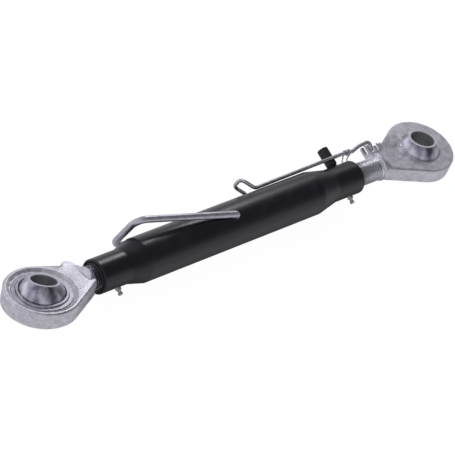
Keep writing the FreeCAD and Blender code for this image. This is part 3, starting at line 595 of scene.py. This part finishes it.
@dataclass
class EyeRod:
    """Forged eye with a screw-cut shank, its retaining ring and its ball."""

    side: Side
    centre_x: float
    cut: float
    thread_colour: Colour
    grease: Colour
    forged: bpy.types.Material
    shank_radius: float = 16.0 * MILLIMETRE
    shank_end: float = 270.0 * MILLIMETRE
    pitch: float = 3.0 * MILLIMETRE
    thread_depth: float = 1.75 * MILLIMETRE
    crest_share: float = 0.14
    root_share: float = 0.30
    steps_round: int = 48
    worn_edge: float = 0.5 * MILLIMETRE
    worn_segments: int = 2
    edge_angle: float = math.radians(32)
    widest_turn: int = 45
    turns_a_degree: int = 10

    def build(self) -> None:
        """Make the forging and its thread, and dress the ring and the ball."""
        for piece in (self.forging(), self.thread()):
            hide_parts(f"{self.side.value}_eye_rod")
        centre = Vector((self.centre_x, 0, 0))
        ring = TurnedSteel(self.named("ring_steel"), centre, self.face_axis())
        ball = PolishedBall(self.named("ball_steel"), centre, self.bore_axis())
        dress(self.named("retaining_ring"), ring.make())
        dress(self.named("swivel_ball"), ball.make())

    def named(self, what: str) -> str:
        """Name of one of this end's things."""
        return f"{self.side.value}_{what}"

    def bore_axis(self) -> Vector:
        """Axis of the ball's bore, as the record's mount gives it."""
        mounts = {mount["name"]: mount for mount in frame["record"]["mounts"]}
        return Vector(mounts[self.named("ball_bore")]["axis"])

    def face_axis(self) -> Vector:
        """Direction square to the eye's flat, along which its ring is thinnest.

        Returns:
            The unit direction, found to a tenth of a degree.
        """
        ring = frame["nodes"][self.named("retaining_ring")]
        points = [ring.matrix_world @ vertex.co for vertex in ring.data.vertices]
        last = self.widest_turn * self.turns_a_degree
        turns = [math.radians(count / self.turns_a_degree) for count in range(-last, last + 1)]
        spreads = []
        for turn in turns:
            across = [point.z * math.cos(turn) - point.y * math.sin(turn) for point in points]
            spreads.append(max(across) - min(across))
        best = turns[spreads.index(min(spreads))]
        return Vector((0, -math.sin(best), math.cos(best)))

    def forging(self) -> bpy.types.Object:
        """Copy of the rod without its shank, closed where it is cut.

        Returns:
            The forging, with slightly worn edges.
        """
        build = bmesh.new()
        build.from_mesh(frame["nodes"][self.named("eye_rod")].data)
        bmesh.ops.remove_doubles(build, verts=build.verts, dist=MERGE_DISTANCE)
        everything = build.verts[:] + build.edges[:] + build.faces[:]
        place = Vector((self.centre_x + self.side.facing * self.cut, 0, 0))
        result = bmesh.ops.bisect_plane(build, geom=everything, plane_co=place,
                                        plane_no=Vector((self.side.facing, 0, 0)), clear_outer=True)
        rim = [item for item in result["geom_cut"] if isinstance(item, bmesh.types.BMEdge)]
        bmesh.ops.holes_fill(build, edges=rim)
        piece = new_piece(self.named("forging"), build, self.forged, self.named("rod"))
        edge = piece.modifiers.new("worn_edges", "BEVEL")
        edge.width = self.worn_edge
        edge.segments = self.worn_segments
        edge.limit_method = "ANGLE"
        edge.angle_limit = self.edge_angle
        edge.harden_normals = True
        return piece

    def thread(self) -> bpy.types.Object:
        """Screw thread whose rows follow its helix, run out at both ends.

        Returns:
            The closed, threaded shank.
        """
        flank = (1.0 - self.crest_share - self.root_share) / 2
        root = self.crest_share + flank
        corners = ((0.0, 0.0), (self.crest_share, 0.0), (root, 1.0), (root + self.root_share, 1.0))
        turns = math.ceil((self.shank_end - self.cut) / self.pitch) + 1
        build = bmesh.new()
        rows = []
        for turn in range(-1, turns):
            for share, depth in corners:
                row = [self.thread_point(turn + share, depth, step) for step in range(self.steps_round + 1)]
                rows.append([build.verts.new(point) for point in row])
        for lower, upper in zip(rows, rows[1:]):
            for step in range(self.steps_round):
                build.faces.new((lower[step], lower[step + 1], upper[step + 1], upper[step]))
        bmesh.ops.remove_doubles(build, verts=build.verts, dist=MERGE_DISTANCE)
        bmesh.ops.dissolve_degenerate(build, dist=MERGE_DISTANCE, edges=build.edges)
        bmesh.ops.holes_fill(build, edges=[edge for edge in build.edges if edge.is_boundary])
        finish = self.thread_finish()
        return new_piece(self.named("thread"), build, finish, self.named("rod"))

    def thread_point(self, start: float, depth: float, step: int) -> Vector:
        """Point of a row of the thread.

        Args:
            start: Start of the row, in turns from the shoulder.
            depth: Share of the thread's depth, 0 on a crest and 1 at a root.
            step: Number of the step round the shank.

        Returns:
            The point, with the thread run out within a turn of both ends.
        """
        length = self.shank_end - self.cut
        share = step / self.steps_round
        along = min(max((start + share) * self.pitch, 0.0), length)
        fade = min(1.0, along / self.pitch, (length - along) / self.pitch)
        radius = self.shank_radius - self.thread_depth * depth * fade
        angle = -2 * math.pi * share
        return Vector((self.centre_x + self.side.facing * (self.cut + along),
                       radius * math.cos(angle), radius * math.sin(angle)))

    def thread_finish(self) -> bpy.types.Material:
        """Finish of the thread, greased towards the mouth that it enters.

        Returns:
            The thread's material.
        """
        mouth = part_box("barrel_tube")[0 if self.side is Side.LEFT else 1].x
        return GreasedThread(
            name=self.named("thread_steel"),
            mouth=mouth,
            facing=-self.side.facing,
            colour=self.thread_colour,
            grease=self.grease,
            crest=self.shank_radius,
            depth=self.thread_depth,
        ).make()


# ---------------------------------------------------------------- tube

@dataclass
class Barrel:
    """Painted tube with its wipers, nipples, guide post and pivot ear."""

    paint: bpy.types.Material
    rubber: bpy.types.Material
    nipple: bpy.types.Material
    spring: bpy.types.Material

    def build(self) -> None:
        """Dress every piece that the tube carries."""
        finishes = {
            self.paint: ("barrel_tube", "latch_pivot_ear", "guide_post"),
            self.rubber: ("left_wiper", "right_wiper", "post_sleeve"),
            self.nipple: ("left_nipple_body", "right_nipple_body", "left_nipple_ball", "right_nipple_ball"),
            self.spring: ("left_nipple_spring", "right_nipple_spring", "latch_spring"),
        }
        for finish, nodes in finishes.items():
            for node in nodes:
                dress(node, finish)


# ---------------------------------------------------------------- handle and latch

@dataclass
class WireWork:
    """Bail handle and latch, bent from plated rod and wire."""

    bail: bpy.types.Material
    latch: bpy.types.Material

    def build(self) -> None:
        """Dress both in their plating."""
        dress("bail_handle", self.bail)
        dress("latch_bow", self.latch)


# ---------------------------------------------------------------- studio

@dataclass(frozen=True)
class Lamp:
    """Soft rectangular lamp whose mirror image lies along the top of the tube."""

    name: str
    mirrored_at: float
    length: float
    width: float
    watts: float
    distance: float = 1.5
    colour: Colour = (0.99, 0.98, 1.03)

    def hang(self, way: Vector) -> None:
        """Hang the lamp square to a direction, with its long side along the tube.

        Args:
            way: Unit direction from the tube to the lamp.
        """
        data = bpy.data.lights.new(self.name, "AREA")
        data.shape = "RECTANGLE"
        data.size = self.length
        data.size_y = self.width
        data.energy = self.watts
        data.color = self.colour
        lamp = bpy.data.objects.new(self.name, data)
        long_side = (Vector((1, 0, 0)) - way * way.x).normalized()
        turn = Matrix((long_side, way.cross(long_side), way)).transposed()
        place = Vector((self.mirrored_at, 0, 0)) + way * self.distance
        lamp.matrix_world = Matrix.Translation(place) @ turn.to_4x4()
        bpy.context.scene.collection.objects.link(lamp)


@dataclass
class Studio:
    """White surroundings, two soft lamps and the camera."""

    camera_place: Spot = (-1.7373, -1.7033, 1.7963)
    sight: Spot = (0.636, 0.530, -0.560)
    across: Spot = (0.719, -0.670, 0.183)
    lens: float = 202.2
    sensor: float = 36.0
    farthest: float = 50.0
    lamp_way: Spot = (0.636, 0.402, 0.658)
    lamps: tuple[Lamp, ...] = (
        Lamp("long_lamp", mirrored_at=0.36, length=0.90, width=0.30, watts=0.70),
        Lamp("left_lamp", mirrored_at=0.05, length=0.24, width=0.34, watts=2.9),
    )
    sky_colour: Colour = (0.98, 0.965, 1.06)
    sky_behind: Span = (0.17, 0.54)
    behind_from: Span = (0.10, 0.75)
    sky_at_horizon: float = 0.40
    horizon_from: Span = (0.0, 0.30)
    sky_at_left: float = 0.50
    left_from: Span = (-0.55, 0.10)
    paper_colour: Colour = (0.8, 0.8, 0.8)
    paper_level: float = 1.03
    paper_shadow: float = 0.05
    mirrored_colour: Colour = (0.97, 0.96, 1.03)
    mirrored_level: Span = (0.15, 0.74)
    floor_half: float = 6.0
    floor_gap: float = 0.5 * MILLIMETRE
    part_middle: float = 0.32
    shadow_half_width: Span = (20 * MILLIMETRE, 60 * MILLIMETRE)
    shadow_half_length: Span = (230 * MILLIMETRE, 290 * MILLIMETRE)

    def build(self) -> None:
        """Set up the view, the surroundings, the floor, the lamps and the camera."""
        bpy.context.scene.view_settings.view_transform = "Standard"
        self.world()
        self.floor()
        for lamp in self.lamps:
            lamp.hang(Vector(self.lamp_way).normalized())
        self.camera()

    def world(self) -> None:
        """Surroundings dim in front, brighter behind, at the left and at the horizon."""
        world = bpy.data.worlds.new("studio")
        world.use_nodes = True
        bpy.context.scene.world = world
        graph = Graph(world.node_tree)
        parts = graph.add("SeparateXYZ", {0: graph.add("TexCoord").outputs["Generated"]}).outputs
        behind = graph.span(parts["Y"], *self.behind_from, *self.sky_behind)
        horizon = graph.span(parts["Z"], *self.horizon_from, self.sky_at_horizon, 0.0)
        left = graph.span(parts["X"], *self.left_from, self.sky_at_left, 0.0)
        level = graph.maths("ADD", graph.maths("ADD", behind, left), horizon)
        lit = graph.add("Background", {"Color": (*self.sky_colour, 1), "Strength": level}).outputs[0]
        white = graph.add("Background", {"Color": WHITE, "Strength": 1.0}).outputs[0]
        seen = graph.add("LightPath").outputs["Is Camera Ray"]
        graph.finish(graph.choose(seen, lit, white), "OutputWorld")

    def floor_material(self) -> bpy.types.Material:
        """Paper, white to the camera but for a faint shadow, and pale in reflections.

        Returns:
            The material, which is darker in reflections where the part shades it.
        """
        material, graph = new_material("floor_paper")
        matt = graph.add("BsdfDiffuse", {"Color": (*self.paper_colour, 1)}).outputs[0]
        white = graph.add("Emission", {"Color": WHITE, "Strength": self.paper_level}).outputs[0]
        shadow = graph.add("BsdfDiffuse", {"Color": WHITE}).outputs[0]
        parts = graph.add("SeparateXYZ", {0: graph.place()}).outputs
        beside = graph.maths("ABSOLUTE", parts["Y"])
        from_middle = graph.maths("ABSOLUTE", graph.maths("SUBTRACT", parts["X"], self.part_middle))
        off_side = graph.span(beside, *self.shadow_half_width)
        off_end = graph.span(from_middle, *self.shadow_half_length)
        clear = graph.maths("MAXIMUM", off_side, off_end)
        level = graph.span(clear, 0.0, 1.0, *self.mirrored_level)
        pale = graph.add("Emission", {"Color": (*self.mirrored_colour, 1), "Strength": level}).outputs[0]
        paths = graph.add("LightPath").outputs
        seen = graph.maths("MAXIMUM", paths["Is Camera Ray"], paths["Is Transmission Ray"])
        unseen = graph.choose(paths["Is Glossy Ray"], matt, pale)
        graph.finish(graph.choose(seen, unseen, graph.choose(self.paper_shadow, white, shadow)))
        return material

    def floor(self) -> None:
        """Flat sheet of paper just under the part."""
        build = bmesh.new()
        height = CAD_BOX[0][2] - self.floor_gap
        corners = ((-1, -1), (1, -1), (1, 1), (-1, 1))
        build.faces.new([build.verts.new((x * self.floor_half, y * self.floor_half, height))
                         for x, y in corners])
        mesh = bpy.data.meshes.new("floor")
        build.to_mesh(mesh)
        build.free()
        mesh.materials.append(self.floor_material())
        floor = bpy.data.objects.new("floor", mesh)
        bpy.context.scene.collection.objects.link(floor)

    def camera(self) -> None:
        """Camera at the left, in front and above, with no shift and no depth of field."""
        data = bpy.data.cameras.new("camera")
        data.sensor_width = self.sensor
        data.lens = self.lens
        data.clip_end = self.farthest
        back = -Vector(self.sight).normalized()
        across = Vector(self.across)
        right = (across - back * across.dot(back)).normalized()
        turn = Matrix((right, back.cross(right), back)).transposed()
        camera = bpy.data.objects.new("camera", data)
        camera.matrix_world = Matrix.Translation(Vector(self.camera_place)) @ turn.to_4x4()
        bpy.context.scene.collection.objects.link(camera)
        bpy.context.scene.camera = camera


def main() -> None:
    """Build and dress every sub-assembly in order."""
    logging.basicConfig(level=logging.INFO, format="%(name)s: %(message)s")
    forged = ForgedZinc().make()
    centres = {mount["name"]: mount["pos_m"][0] for mount in frame["record"]["mounts"]}
    EyeRod(
        side=Side.LEFT,
        centre_x=centres["left_ball_bore"],
        cut=71.6 * MILLIMETRE,
        thread_colour=(0.32, 0.315, 0.36),
        grease=(0.02, 0.019, 0.03),
        forged=forged,
    ).build()
    EyeRod(
        side=Side.RIGHT,
        centre_x=centres["right_ball_bore"],
        cut=83.7 * MILLIMETRE,
        thread_colour=(0.92, 0.93, 0.97),
        grease=(0.40, 0.355, 0.17),
        forged=forged,
    ).build()
    Barrel(
        paint=BlackPaint().make(),
        rubber=BlackRubber().make(),
        nipple=PlatedWire("nipple_plating", colour=(0.56, 0.54, 0.48), rough=0.30).make(),
        spring=PlatedWire("spring_wire", colour=(0.60, 0.60, 0.64), rough=0.30).make(),
    ).build()
    WireWork(
        bail=PlatedWire("bail_plating", colour=(0.56, 0.56, 0.60), rough=0.36).make(),
        latch=PlatedWire("latch_plating", colour=(0.55, 0.55, 0.58), rough=0.25).make(),
    ).build()
    Studio().build()


if __name__ == "__main__":
    main()
